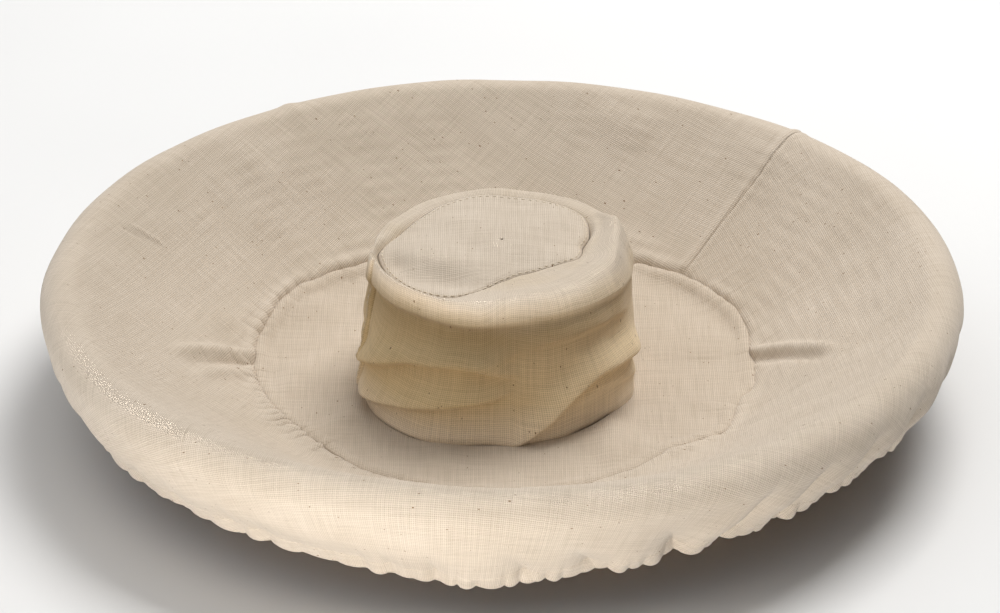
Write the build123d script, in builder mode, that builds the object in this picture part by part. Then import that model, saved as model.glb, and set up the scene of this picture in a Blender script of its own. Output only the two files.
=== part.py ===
from build123d import *
from math import asin, atan2, cos, degrees, hypot, radians, sin
import os

# Cloth-lined crown banneton: a shallow round wicker proofing basket with a raised
# hollow core in the middle, dressed in a cloth liner that folds over the rim.
# Frame: +Z up, origin on the standing plane under the centre. Millimetres.
# Azimuths are degrees from +X towards +Y; the skirted front faces -Y.

# ---------------------------------------------------------------- driving sizes
rim_radius = 200.0            # widest point, over the cloth
rim_roll_radius = 9.5         # roundness of the rim, over the cloth
rim_height = 64.0             # crest of the rim, over the cloth
well_floor = 12.0             # top of the cloth in the dough well
base_seam_radius = 111.0      # seam between the well floor and the side wall
core_foot_radius = 58.0       # over the cloth
core_top_radius = 55.0        # over the cloth
core_height = 78.0            # crown of the core, over the cloth
hem_radius = 187.0            # gathered hem of the skirt
hem_height = 15.0             # underside of the hem

cloth = 1.2                   # linen with its seam turnings
slack = 0.4                   # air between the cloth and the wicker
weave = 8.4                   # wicker wall: a stake with a rod on each side
fit = 0.15                    # air between a stake and the rods woven round it
joint_gap = 0.3               # air between neighbouring bands of weaving

stake_diameter = 3.6
stake_count = 32
base_stick_diameter = 3.2
base_sticks_per_way = 4
core_stake_count = 12
core_stake_diameter = 3.2
thread = 0.7                  # sewing thread
seam_gap = 0.9                # slot in which a seam's thread lies

side_seam_azimuth = 47.0
sleeve_seam_azimuth = 192.0

# ------------------------------------------------- section of the side wall
roll_centre = (rim_radius - rim_roll_radius, rim_height - rim_roll_radius)
seam_to_centre = hypot(roll_centre[0] - base_seam_radius, roll_centre[1] - well_floor)
slope = (atan2(roll_centre[1] - well_floor, roll_centre[0] - base_seam_radius)
         + asin(rim_roll_radius / seam_to_centre))
slope_length = seam_to_centre * cos(asin(rim_roll_radius / seam_to_centre))

wicker_depth = cloth + slack              # cloth face to the wicker's inner face
stake_depth = wicker_depth + weave / 2    # cloth face to the stakes' centre line
border_radius = rim_roll_radius - wicker_depth
border_start = slope_length - border_radius - joint_gap


def wall_point(along, depth):
    """Radius and height of a point on the side wall, measured up the slope from
    the base seam and square to the slope, down from the face of the cloth."""
    radius = base_seam_radius + along * cos(slope) + depth * sin(slope)
    height = well_floor + along * sin(slope) - depth * cos(slope)
    return (radius, height)


def roll_point(angle, depth):
    """Radius and height of a point on the rolled rim, at an angle above level."""
    reach = rim_roll_radius - depth
    return (roll_centre[0] + reach * cos(radians(angle)),
            roll_centre[1] + reach * sin(radians(angle)))


def radial_plane(azimuth):
    """Upright plane through the axis: local x runs outwards and local y upwards."""
    turn = radians(azimuth)
    return Plane(origin=(0, 0, 0), x_dir=(cos(turn), sin(turn), 0), z_dir=(sin(turn), -cos(turn), 0))


os.makedirs("parts", exist_ok=True)


def finish(builder, name):
    builder.part.label = name
    export_step(builder.part, f"parts/{name}.step")


# ================================================================ wicker base
base_top = well_floor - wicker_depth
base_bottom = base_top - 8.0
base_middle = (base_top + base_bottom) / 2
base_edge = 104.2
slath_hole = 12.0
slath_reach = 9.0
stick_pitch = base_stick_diameter + 0.4
stick_rise = base_stick_diameter / 2 + 0.1
fan_step = 360 / (4 * base_sticks_per_way)


def base_stick_path(place):
    """One stick, straight through the middle and fanned out beyond it."""
    side = place - (base_sticks_per_way - 1) / 2
    offset = side * stick_pitch
    fan = radians(side * fan_step)
    tip = (base_edge - 1.2) * cos(fan)
    spread = (base_edge - 1.2) * sin(fan)
    return FilletPolyline(
        (-tip, spread), (-slath_reach, offset), (slath_reach, offset), (tip, spread),
        radius=14 if abs(side) < 1 else 8,
    )


def stick_plane(way):
    """The sticks that run across lie on those that run from front to back."""
    height = base_middle + (stick_rise if way == "across" else -stick_rise)
    turn = 0 if way == "across" else 90
    return Plane((0, 0, height), x_dir=(cos(radians(turn)), sin(radians(turn)), 0), z_dir=(0, 0, 1))


def swept_rod(line, diameter):
    """A round rod along a line, made on its own."""
    with BuildPart() as rod:
        with BuildSketch(Plane(origin=line @ 0, z_dir=line % 0)):
            Circle(diameter / 2)
        sweep(path=line)
    return rod


stick_tunnels = []
for way in ("across", "along"):
    for place in range(base_sticks_per_way):
        with BuildLine(stick_plane(way)) as stick_line:
            base_stick_path(place)
        base_stick = swept_rod(stick_line.line, base_stick_diameter)
        finish(base_stick, f"base_stick_{way}_{place + 1}")
        stick_tunnels.append(swept_rod(stick_line.line, base_stick_diameter + 2 * fit))

# Side stake: pushed into the base beside a stick, bent up at the base's edge and
# carried up the middle of the wall to the border.
stake_root = 90.0
with BuildLine(radial_plane(0)) as stake_line:
    foot_of_slope = wall_point(0, stake_depth)
    bend_radius = foot_of_slope[0] + (base_middle - foot_of_slope[1]) / (sin(slope) / cos(slope))
    FilletPolyline((stake_root, base_middle), (bend_radius, base_middle),
                   wall_point(border_start, stake_depth), radius=18)
side_stake = swept_rod(stake_line.line, stake_diameter)
stake_tunnel = swept_rod(stake_line.line, stake_diameter + 2 * fit)
stake_pitch = 360 / stake_count

for pair in range(stake_count // 2):
    with BuildPart() as stake_pair:
        with PolarLocations(0, 2, start_angle=(2 * pair + 0.5) * stake_pitch,
                            angular_range=2 * stake_pitch):
            add(side_stake.part)
    finish(stake_pair, f"stake_pair_{pair + 1:02d}")

# Core ties: loops of cane through the base and the core's lowest rounds.
tie_count = 4
tie_loop = 5.8
tie_diameter = 1.4
tie_place = Location((core_foot_radius - wicker_depth - 5.4, 0, base_middle + 0.8), (90, 0, 0))


def tie_ring(diameter):
    """The four loops, standing in radial planes."""
    with BuildPart() as ties:
        with PolarLocations(0, tie_count):
            with Locations(tie_place):
                Torus(tie_loop, diameter / 2)
    return ties


finish(tie_ring(tie_diameter), "core_ties")
tie_tunnels = tie_ring(tie_diameter + 2 * fit)

with BuildPart() as base_weave:
    with BuildSketch(Plane.XZ):
        with Locations(((base_edge + slath_hole) / 2, base_middle)):
            RectangleRounded(base_edge - slath_hole, base_top - base_bottom, 1.5)
    revolve(axis=Axis.Z)
    for tunnel in stick_tunnels:
        add(tunnel.part, mode=Mode.SUBTRACT)
    with PolarLocations(0, stake_count, start_angle=stake_pitch / 2):
        add(stake_tunnel.part, mode=Mode.SUBTRACT)
    add(tie_tunnels.part, mode=Mode.SUBTRACT)
finish(base_weave, "base_weave")

# ================================================================ wicker side
# Foot wale: the thick rounds that turn the stakes up. The basket stands on it.
foot_top = 8.0
with BuildPart() as foot_wale:
    with BuildSketch(Plane.XZ):
        with BuildLine():
            Polyline(
                (base_edge + joint_gap, 0), (base_seam_radius + 7, 0),
                wall_point(foot_top, stake_depth + weave / 2 + 1.2), wall_point(foot_top, wicker_depth),
                wall_point(0.3, wicker_depth), (base_edge + joint_gap, base_top),
                close=True,
            )
        make_face()
    revolve(axis=Axis.Z)
    standing_edge = foot_wale.edges().group_by(Axis.Z)[0].sort_by(SortBy.RADIUS)[-1]
    fillet(standing_edge, 2.5)
    with PolarLocations(0, stake_count, start_angle=stake_pitch / 2):
        add(stake_tunnel.part, mode=Mode.SUBTRACT)
finish(foot_wale, "foot_wale")


def wall_band(start, end, extra):
    """A band of weaving up the slope, proud of the wall outside by the extra."""
    with BuildPart() as band:
        with BuildSketch(Plane.XZ):
            with BuildLine():
                Polyline(
                    wall_point(start, wicker_depth), wall_point(end, wicker_depth),
                    wall_point(end, wicker_depth + weave + extra),
                    wall_point(start, wicker_depth + weave + extra),
                    close=True,
                )
            make_face()
        revolve(axis=Axis.Z)
        with PolarLocations(0, stake_count, start_angle=stake_pitch / 2):
            add(stake_tunnel.part, mode=Mode.SUBTRACT)
    return band


top_wale_height = 11.0
top_wale_start = border_start - top_wale_height
finish(wall_band(foot_top + joint_gap, top_wale_start - joint_gap, 0), "side_weave")
finish(wall_band(top_wale_start, border_start, 0.8), "top_wale")

# Rim border: the stakes' ends, bent over and plaited into a thick round edge.
with BuildPart() as rim_border:
    with BuildSketch(Plane.XZ):
        with Locations(roll_centre):
            Circle(border_radius)
    revolve(axis=Axis.Z)
finish(rim_border, "rim_border")

# ================================================================ wicker core
core_wicker_foot = core_foot_radius - wicker_depth
core_lean = (core_foot_radius - core_top_radius) / (core_height - well_floor)
core_border_radius = 4.2
core_border_height = core_height - 9.5
core_weave_top = core_border_height - core_border_radius - joint_gap
core_wall = 8.2


def core_face(height):
    """Radius of the core's wicker at a height."""
    return core_wicker_foot - core_lean * (height - base_top)


core_rim_centre = core_face(core_border_height) - core_border_radius

with BuildLine(radial_plane(0)) as core_stake_line:
    Line((core_face(base_top) - core_wall / 2, base_top + fit),
         (core_face(core_weave_top) - core_wall / 2, core_weave_top))
core_stake = swept_rod(core_stake_line.line, core_stake_diameter)
core_tunnel = swept_rod(core_stake_line.line, core_stake_diameter + 2 * fit)
core_stake_pitch = 360 / core_stake_count

for place in range(core_stake_count):
    with BuildPart() as placed_stake:
        with PolarLocations(0, 1, start_angle=(place + 0.5) * core_stake_pitch):
            add(core_stake.part)
    finish(placed_stake, f"core_stake_{place + 1:02d}")

with BuildPart() as core_weave:
    with BuildSketch(Plane.XZ):
        with BuildLine():
            Polyline(
                (core_face(base_top) - core_wall, base_top), (core_face(base_top), base_top),
                (core_face(core_weave_top), core_weave_top),
                (core_face(core_weave_top) - core_wall, core_weave_top),
                close=True,
            )
        make_face()
    revolve(axis=Axis.Z)
    with PolarLocations(0, core_stake_count, start_angle=core_stake_pitch / 2):
        add(core_tunnel.part, mode=Mode.SUBTRACT)
    add(tie_tunnels.part, mode=Mode.SUBTRACT)
finish(core_weave, "core_weave")

with BuildPart() as core_border:
    with BuildSketch(Plane.XZ):
        with Locations((core_rim_centre, core_border_height)):
            Circle(core_border_radius)
    revolve(axis=Axis.Z)
finish(core_border, "core_border")

core_lid_radius = core_rim_centre - core_border_radius - joint_gap
core_lid_thickness = 6.4
with BuildPart() as core_lid:
    with BuildSketch(Plane.XY.offset(core_border_height - core_lid_thickness / 2)):
        Circle(core_lid_radius)
    extrude(amount=core_lid_thickness)
    fillet(core_lid.edges(), 2.0)
finish(core_lid, "core_lid_weave")

# ================================================================ cloth liner
# Side panel: one strip with one seam, from the base seam up the wall and over
# the rim to its widest point, where the free skirt begins.
seam_edge = seam_gap / 2


def seam_slot(azimuth, reach):
    """A thin upright slot on one side of the axis, to part a cloth at its seam."""
    with BuildPart(Plane.XY.rotated((0, 0, azimuth))) as slot:
        with Locations((reach / 2, 0, core_height)):
            Box(reach, seam_gap, 2 * core_height)
    return slot


with BuildPart() as liner_wall:
    with BuildSketch(Plane.XZ):
        with BuildLine():
            start = wall_point(seam_edge, 0)
            tangent = wall_point(slope_length, 0)
            middle = (90 + degrees(slope)) / 2
            Line(start, tangent)
            ThreePointArc(tangent, roll_point(middle, 0), roll_point(0, 0))
            Line(roll_point(0, 0), roll_point(0, cloth))
            ThreePointArc(roll_point(0, cloth), roll_point(middle, cloth), wall_point(slope_length, cloth))
            Line(wall_point(slope_length, cloth), wall_point(seam_edge, cloth))
            Line(wall_point(seam_edge, cloth), start)
        make_face()
    revolve(axis=Axis.Z)
    add(seam_slot(side_seam_azimuth, 2 * rim_radius).part, mode=Mode.SUBTRACT)
finish(liner_wall, "liner_wall")

with BuildPart() as side_seam_thread:
    with BuildLine(radial_plane(side_seam_azimuth)) as side_seam_line:
        Line(wall_point(1.6, cloth / 2), wall_point(slope_length, cloth / 2))
        ThreePointArc(wall_point(slope_length, cloth / 2), roll_point(middle, cloth / 2),
                      roll_point(2, cloth / 2))
    with BuildSketch(Plane(origin=side_seam_line.line @ 0, z_dir=side_seam_line.line % 0)):
        Circle(thread / 2)
    sweep()
finish(side_seam_thread, "side_seam_thread")

# Skirt: the same strip carried down outside the rim to the gathered hem.
hem_depth = 8.0
skirt_top = roll_centre[1] - joint_gap
skirt_foot = hem_height + hem_depth + joint_gap
hem_to_centre = hypot(roll_centre[0] - hem_radius - cloth, roll_centre[1] - skirt_foot)
skirt_angle = degrees(
    atan2(roll_centre[1] - skirt_foot, roll_centre[0] - hem_radius - cloth)
    - asin(rim_roll_radius / hem_to_centre)
) - 90
skirt_start = degrees(asin((skirt_top - roll_centre[1]) / rim_roll_radius))


def skirt_line(depth):
    """Line of the skirt, round the rim's outside and straight down to the hem."""
    ThreePointArc(roll_point(skirt_start, depth), roll_point((skirt_start + skirt_angle) / 2, depth),
                  roll_point(skirt_angle, depth))
    Line(roll_point(skirt_angle, depth), skirt_foot_point(depth))


def skirt_foot_point(depth):
    """Lower end of the skirt, square to its line."""
    lean = radians(skirt_angle)
    return (hem_radius + cloth - depth * cos(lean), skirt_foot - depth * sin(lean))


with BuildPart() as liner_skirt:
    with BuildSketch(Plane.XZ):
        with BuildLine():
            skirt_line(0)
            skirt_line(cloth)
            Line(roll_point(skirt_start, 0), roll_point(skirt_start, cloth))
            Line(skirt_foot_point(0), skirt_foot_point(cloth))
        make_face()
    revolve(axis=Axis.Z)
    add(seam_slot(side_seam_azimuth, 2 * rim_radius).part, mode=Mode.SUBTRACT)
finish(liner_skirt, "liner_skirt")

with BuildPart() as skirt_seam_thread:
    with BuildLine(radial_plane(side_seam_azimuth)) as skirt_seam_line:
        skirt_line(cloth / 2)
    with BuildSketch(Plane(origin=skirt_seam_line.line @ 0, z_dir=skirt_seam_line.line % 0)):
        Circle(thread / 2)
    sweep()
finish(skirt_seam_thread, "skirt_seam_thread")

# Hem casing: the cloth turned up inside into a flat trough, with the elastic in it.
# The trough's open top is where the stitches close it against the skirt's foot.
casing_thickness = 3.6
casing_fold = 1.3
elastic_width = 5.0
elastic_thickness = 1.0
hem_middle = hem_height + hem_depth / 2
casing_centre = hem_radius + cloth / 2
with BuildPart() as hem_casing:
    with BuildSketch(Plane.XZ) as casing_section:
        with Locations((casing_centre, hem_middle)):
            Rectangle(casing_thickness, hem_depth)
        fillet(casing_section.vertices().group_by(Axis.Y)[0], radius=1.2)
        with Locations((casing_centre, hem_middle + casing_fold / 2)):
            Rectangle(elastic_thickness + 0.4, hem_depth - casing_fold, mode=Mode.SUBTRACT)
    revolve(axis=Axis.Z)
finish(hem_casing, "hem_casing")

with BuildPart() as hem_elastic:
    with BuildSketch(Plane.XZ):
        with Locations((casing_centre, hem_middle)):
            RectangleRounded(elastic_thickness, elastic_width, 0.45)
    revolve(axis=Axis.Z)
finish(hem_elastic, "hem_elastic")

# Well floor: a flat cloth ring between the side panel and the core's sleeve.
with BuildPart() as liner_floor:
    with BuildSketch(Plane.XY.offset(well_floor - cloth)):
        Circle(base_seam_radius - seam_gap)
        Circle(core_foot_radius + seam_gap, mode=Mode.SUBTRACT)
    extrude(amount=cloth)
finish(liner_floor, "liner_floor")


def seam_ring(radius, height):
    """A closed line of stitching, level all the way round."""
    with BuildPart() as ring:
        with BuildSketch(Plane.XZ):
            with Locations((radius, height)):
                Circle(thread / 2)
        revolve(axis=Axis.Z)
    return ring


seam_height = well_floor - cloth / 2
finish(seam_ring(base_seam_radius - seam_edge + 0.1, seam_height + 0.1), "base_seam_thread")
finish(seam_ring(core_foot_radius + seam_edge, seam_height), "foot_seam_thread")

# Sleeve: the strip round the core, with one upright seam.
sleeve_foot = well_floor - cloth
sleeve_top = core_height - 5.8


def sleeve_face(height):
    """Radius of the cloth on the core at a height."""
    return core_foot_radius - core_lean * (height - well_floor)


with BuildPart() as core_sleeve:
    with BuildSketch(Plane.XZ):
        with BuildLine():
            Polyline(
                (core_foot_radius, sleeve_foot), (core_foot_radius, well_floor),
                (sleeve_face(sleeve_top), sleeve_top), (sleeve_face(sleeve_top) - cloth, sleeve_top),
                (core_foot_radius - cloth, well_floor), (core_foot_radius - cloth, sleeve_foot),
                close=True,
            )
        make_face()
    revolve(axis=Axis.Z)
    add(seam_slot(sleeve_seam_azimuth, 2 * core_foot_radius).part, mode=Mode.SUBTRACT)
finish(core_sleeve, "core_sleeve")

with BuildPart() as sleeve_seam_thread:
    with BuildLine(radial_plane(sleeve_seam_azimuth)) as sleeve_seam_line:
        Line((core_foot_radius - cloth / 2, well_floor + thread),
             (sleeve_face(sleeve_top) - cloth / 2, sleeve_top - thread))
    with BuildSketch(Plane(origin=sleeve_seam_line.line @ 0, z_dir=sleeve_seam_line.line % 0)):
        Circle(thread / 2)
    sweep()
finish(sleeve_seam_thread, "sleeve_seam_thread")

# Cap: the round cloth over the core, gently domed and turned down at its edge.
cap_edge = sleeve_top + seam_gap
cap_corner = 3.6
cap_shoulder = cap_edge + cap_corner - 0.2
with BuildPart() as core_cap:
    with BuildSketch(Plane.XZ):
        with BuildLine():
            edge = sleeve_face(cap_edge)
            shoulder = edge - cap_corner
            Line((0, core_height - cloth), (0, core_height))
            TangentArc((0, core_height), (shoulder, cap_shoulder), tangent=(1, 0))
            ThreePointArc((shoulder, cap_shoulder), (edge - 1.0, cap_edge + 2.4), (edge, cap_edge))
            Line((edge, cap_edge), (edge - cloth, cap_edge))
            Line((edge - cloth, cap_edge), (shoulder, cap_shoulder - cloth))
            TangentArc((0, core_height - cloth), (shoulder, cap_shoulder - cloth), tangent=(1, 0))
        make_face()
    revolve(axis=Axis.Z)
finish(core_cap, "core_cap")
finish(seam_ring(sleeve_face(sleeve_top) - cloth / 2, sleeve_top + seam_edge), "cap_seam_thread")

# ---------------------------------------------------------------- report
print(f"wall slope {degrees(slope):.1f} degrees over {slope_length:.1f} mm")
print(f"border from {border_start:.1f} mm up the slope, weaving band {top_wale_start:.1f}")
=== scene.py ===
from math import asin, atan2, cos, hypot, pi, radians, sin

import bpy
import numpy as np
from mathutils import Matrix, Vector


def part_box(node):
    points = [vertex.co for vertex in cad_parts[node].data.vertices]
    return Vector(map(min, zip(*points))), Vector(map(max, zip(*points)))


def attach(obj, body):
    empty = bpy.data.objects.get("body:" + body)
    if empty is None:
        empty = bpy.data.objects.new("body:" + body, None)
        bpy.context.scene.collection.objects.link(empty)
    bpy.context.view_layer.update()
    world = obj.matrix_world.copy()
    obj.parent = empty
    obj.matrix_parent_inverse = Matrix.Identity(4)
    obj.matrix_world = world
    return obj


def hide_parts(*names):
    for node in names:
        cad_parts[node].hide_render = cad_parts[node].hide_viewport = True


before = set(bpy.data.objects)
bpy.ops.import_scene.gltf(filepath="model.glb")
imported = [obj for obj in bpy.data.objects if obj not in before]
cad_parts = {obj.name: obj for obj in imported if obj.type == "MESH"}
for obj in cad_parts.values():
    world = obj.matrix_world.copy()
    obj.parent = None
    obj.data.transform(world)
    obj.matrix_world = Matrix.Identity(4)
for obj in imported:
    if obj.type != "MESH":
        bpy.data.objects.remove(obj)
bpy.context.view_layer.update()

# Cloth-lined crown banneton. Metres, +Z up, the camera looks along +Y.
# Azimuths are degrees from +X towards +Y, so the front of the basket is at 270.

MM = 0.001
TAU = 2 * pi

# ---------------------------------------------------------------- sizes, read from the frame
wall_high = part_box("liner_wall")[1]
sleeve_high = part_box("core_sleeve")[1]
cap_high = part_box("core_cap")[1]
casing_low, casing_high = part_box("hem_casing")
border_low, border_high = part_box("rim_border")

RIM = round(wall_high.x, 4)                     # widest point, over the cloth
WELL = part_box("liner_floor")[1].z                       # top of the cloth in the well
SEAM = round(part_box("base_seam_thread")[1].x, 4)
FOOT = sleeve_high.x                            # core at its foot
CORE_TOP = cap_high.z
SLEEVE_TOP = sleeve_high.z
CAP = cap_high.x
HEM = casing_low.z
HEM_RADIUS = casing_high.x - 1.8 * MM
BORDER = (border_high.z - border_low.z) / 2
CLOTH = 1.0 * MM
ROLL = BORDER + 1.6 * MM                        # roundness of the rim over the cloth
ROLL_CENTRE = (RIM - ROLL, (border_high.z + border_low.z) / 2)
SIDE_SEAM = 47.0
SLEEVE_SEAM = 192.0

to_centre = hypot(ROLL_CENTRE[0] - SEAM, ROLL_CENTRE[1] - WELL)
SLOPE = atan2(ROLL_CENTRE[1] - WELL, ROLL_CENTRE[0] - SEAM) + asin(ROLL / to_centre)
SLOPE_LENGTH = to_centre * cos(asin(ROLL / to_centre))


# ---------------------------------------------------------------- small tools
def smooth(edge0, edge1, x):
    """0 before edge0, 1 after edge1, and a soft step between."""
    t = np.clip((x - edge0) / (edge1 - edge0), 0, 1)
    return t * t * (3 - 2 * t)


def around(radius, turn, height):
    """Points at a radius and a height, at turns about the basket's axis."""
    return np.stack([radius * np.cos(turn), radius * np.sin(turn), height], -1)


def bell(x, centre, width):
    return np.exp(-((x - centre) / width) ** 2)


def turn_between(a, b):
    """Shortest signed angle from b to a, in degrees."""
    return (a - b + 180) % 360 - 180


def round_the_ring(azimuth, knots):
    """A smooth closed curve through (azimuth, value) knots, read at the azimuths given."""
    at = np.array([k[0] for k in knots], float)
    value = np.array([k[1] for k in knots], float)
    order = np.argsort(at)
    at, value = at[order], value[order]
    count = len(at)
    far = np.concatenate([at - 360, at, at + 360])
    all_values = np.tile(value, 3)
    slope = np.zeros(3 * count)
    step = np.diff(far)
    secant = np.diff(all_values) / step
    flat = secant[:-1] * secant[1:] <= 0
    both = np.where(flat, 1, secant[:-1] + secant[1:])
    slope[1:-1] = np.where(flat, 0, 2 * secant[:-1] * secant[1:] / both)
    x = np.asarray(azimuth, float) % 360
    i = np.clip(np.searchsorted(far, x, side="right") - 1, 0, len(far) - 2)
    t = (x - far[i]) / step[i]
    return ((1 + 2 * t) * (1 - t) ** 2 * all_values[i] + t * (1 - t) ** 2 * step[i] * slope[i]
            + t * t * (3 - 2 * t) * all_values[i + 1] + t * t * (t - 1) * step[i] * slope[i + 1])


def ripples(points, scale, seed, count=20):
    """A soft random field over space, about -1 to 1, with features about as long as the scale."""
    rng = np.random.default_rng(seed)
    direction = rng.normal(size=(count, 3))
    direction /= np.linalg.norm(direction, axis=1)[:, None]
    pitch = TAU / scale * rng.uniform(0.6, 1.4, count)
    phase = rng.uniform(0, TAU, count)
    field = np.zeros(points.shape[:-1])
    for k in range(count):
        field += np.cos(points @ (direction[k] * pitch[k]) + phase[k])
    return field * (2 / count) ** 0.5 / 1.6


def new_object(name, vertices, faces, uv=None, shade=True):
    mesh = bpy.data.meshes.new(name)
    flat_faces = np.asarray(faces, dtype=np.int32)
    sides = flat_faces.shape[1]
    mesh.vertices.add(len(vertices))
    mesh.vertices.foreach_set("co", np.asarray(vertices, dtype=np.float32).ravel())
    mesh.loops.add(flat_faces.size)
    mesh.loops.foreach_set("vertex_index", flat_faces.ravel())
    mesh.polygons.add(len(flat_faces))
    mesh.polygons.foreach_set("loop_start", np.arange(len(flat_faces), dtype=np.int32) * sides)
    if uv is not None:
        layer = mesh.uv_layers.new(name="cut")
        layer.data.foreach_set("uv", np.asarray(uv, dtype=np.float32).ravel())
    mesh.update(calc_edges=True)
    mesh.validate()
    if shade:
        mesh.shade_smooth()
    obj = bpy.data.objects.new(name, mesh)
    bpy.context.scene.collection.objects.link(obj)
    return obj


def ring_sheet(name, points, cut):
    """A cloth from rows round the basket: points is turns x rows x 3, and cut is the same places on
    the flat cloth, with one more turn than the points, where the strip's ends meet."""
    turns, rows = points.shape[:2]
    a = np.arange(turns)[:, None]
    b = np.arange(rows - 1)[None, :]
    nxt = (a + 1) % turns
    faces = np.stack([a * rows + b, nxt * rows + b, nxt * rows + b + 1, a * rows + b + 1], -1).reshape(-1, 4)
    corners = np.stack([cut[:-1, :-1], cut[1:, :-1], cut[1:, 1:], cut[:-1, 1:]], 2).reshape(-1, 2)
    return new_object(name, points.reshape(-1, 3), faces, corners)


def thicken(obj, thickness):
    """Gives a cloth its thickness, on the side away from the eye."""
    solid = obj.modifiers.new("thickness", "SOLIDIFY")
    solid.thickness = thickness
    solid.offset = -1.0
    solid.use_rim = True
    return obj


def finish_piece(obj, body, material, slot, *nodes):
    obj.data.materials.clear()
    obj.data.materials.append(material)
    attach(obj, body)
    if nodes:
        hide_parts(*nodes)
    return obj


def cloth_piece(name, points, cut, thickness, material, slot, *nodes):
    """A cloth of the liner from its grid: thickened, with its material, riding on the liner."""
    obj = thicken(ring_sheet(name, points, cut), thickness)
    return finish_piece(obj, "liner", material, slot, *nodes)


# ---------------------------------------------------------------- materials
class Nodes:
    """Short way to wire shader nodes."""

    def __init__(self, name):
        self.material = bpy.data.materials.new(name)
        self.material.use_nodes = True
        self.tree = self.material.node_tree
        self.shader = self.tree.nodes["Principled BSDF"]

    def add(self, kind, **settings):
        node = self.tree.nodes.new(kind)
        for key, value in settings.items():
            setattr(node, key, value)
        return node

    def link(self, source, target):
        self.tree.links.new(source, target)

    def math(self, operation, a, b=None, c=None):
        node = self.add("ShaderNodeMath", operation=operation)
        for socket, value in zip(node.inputs, (a, b, c)):
            if value is None:
                continue
            if isinstance(value, (int, float)):
                socket.default_value = value
            else:
                self.link(value, socket)
        return node.outputs[0]

    def noise(self, vector, scale, detail=2.0, roughness=0.5):
        node = self.add("ShaderNodeTexNoise")
        node.inputs["Scale"].default_value = scale
        node.inputs["Detail"].default_value = detail
        node.inputs["Roughness"].default_value = roughness
        self.link(vector, node.inputs["Vector"])
        return node.outputs["Fac"]

    def stretch(self, vector, x, y, z=1.0):
        node = self.add("ShaderNodeMapping")
        node.inputs["Scale"].default_value = (x, y, z)
        self.link(vector, node.inputs["Vector"])
        return node.outputs[0]

    def ramp(self, factor, *stops):
        node = self.add("ShaderNodeValToRGB")
        self.link(factor, node.inputs[0])
        elements = node.color_ramp.elements
        while len(elements) < len(stops):
            elements.new(0.5)
        for element, (place, colour) in zip(elements, stops):
            element.position = place
            element.color = (*colour, 1.0)
        return node.outputs[0]

    def mix(self, factor, a, b, blend="MIX"):
        node = self.add("ShaderNodeMix", data_type="RGBA", blend_type=blend)
        for socket, value in ((node.inputs[0], factor), (node.inputs[6], a), (node.inputs[7], b)):
            if isinstance(value, (int, float)):
                socket.default_value = value
            elif isinstance(value, tuple):
                socket.default_value = (*value, 1.0)
            else:
                self.link(value, socket)
        return node.outputs[2]

    def times(self, a, b):
        return self.mix(1.0, a, b, "MULTIPLY")

    def bump(self, height, strength, distance):
        node = self.add("ShaderNodeBump")
        node.inputs["Strength"].default_value = strength
        node.inputs["Distance"].default_value = distance
        self.link(height, node.inputs["Height"])
        self.link(node.outputs[0], self.shader.inputs["Normal"])


BLACK, WHITE = (0, 0, 0), (1, 1, 1)
THREAD_PITCH = 0.84 * MM


def painted_light_by_height(n, place, patches, foot, low, high, tint):
    """Painted light and shade that the sleeve's colour is multiplied by, by height: a paler painted highlight
    below the foot height, a warm painted bounce-light tint from there to the low height, lighter to the right,
    painted shade about the low height under the lip, and unchanged from the high height up."""
    level = n.add("ShaderNodeSeparateXYZ")
    n.link(place, level.inputs[0])
    up = n.math("MULTIPLY", n.math("MULTIPLY_ADD", patches, 0.012, level.outputs[2]), 10.0)
    foot, low, high = 10 * foot, 10 * low, 10 * high
    # Painted light: the warm tint stands for bounced light in shade, and it turns paler to the right, where more
    # light falls.
    to_the_right = n.ramp(n.math("MULTIPLY_ADD", level.outputs[0], 8.0, 0.4), (0.25, BLACK), (0.80, WHITE))
    tinted = n.mix(to_the_right, tint, (1.28, 1.20, 0.98))
    untinted = n.ramp(up, (foot - 0.06, WHITE), (foot + 0.10, BLACK), (low, BLACK), (high, WHITE))
    colour = n.mix(untinted, tinted, (1.0, 1.0, 1.0))
    # Painted highlight: the foot is made paler where the cloth turns up to the light.
    painted_light_at_foot = n.ramp(up, (foot - 0.10, (1.30, 1.28, 1.20)), (foot + 0.08, WHITE))
    # Painted shade: a darker band just under the lip.
    painted_shade_under_lip = n.ramp(up, (low - 0.14, WHITE), (low - 0.02, (0.80, 0.77, 0.72)),
                  (low + 0.05, (0.82, 0.80, 0.76)), (low + 0.12, WHITE))
    return n.times(n.times(colour, painted_light_at_foot), painted_shade_under_lip)


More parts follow.
